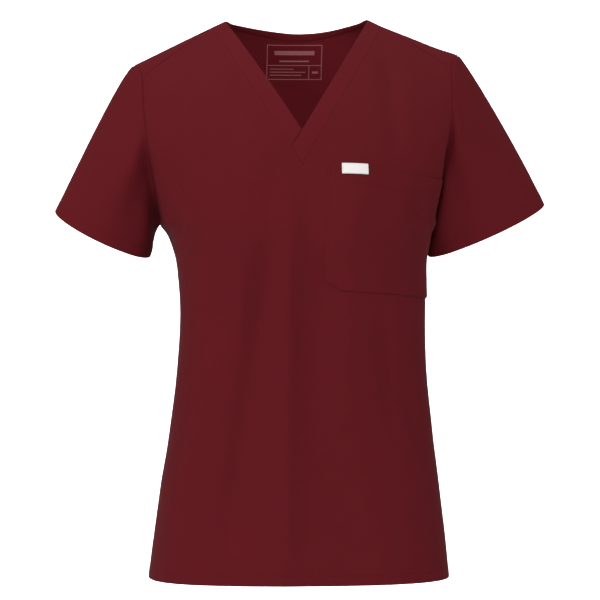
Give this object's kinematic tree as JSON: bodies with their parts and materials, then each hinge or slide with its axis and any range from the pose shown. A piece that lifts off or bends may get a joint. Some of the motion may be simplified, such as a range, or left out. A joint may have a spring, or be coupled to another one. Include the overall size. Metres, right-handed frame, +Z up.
{
  "type": "medical scrub top",
  "caption": "Short-sleeved V-neck medical scrub top with a chest pocket, filled out as worn but empty, open at neck, cuffs and hem.",
  "frame": {"origin": "between the two points where the neckline crosses the shoulders, where the wearer's shoulders hold the garment up", "axes": "front faces -Y, the wearer's left side is +X (the viewer's right from the front), +Z up"},
  "size_m": [0.5646, 0.2535, 0.6397],
  "materials": {
    "cloth": "matte burgundy twill-weave cloth",
    "neckband_cloth": "matte burgundy twill-weave cloth, folded band",
    "neck_tape": "matte burgundy binding",
    "woven_tab": "off-white woven tab, blank"
  },
  "bodies": {
    "root": {"front_panel": "cloth", "back_panel": "cloth", "sleeve_right": "cloth", "sleeve_left": "cloth", "chest_pocket": "cloth", "neckband_right": "neckband_cloth", "neckband_left": "neckband_cloth", "back_neck_tape": "neck_tape", "pocket_tab": "woven_tab"}
  },
  "joints": []
}
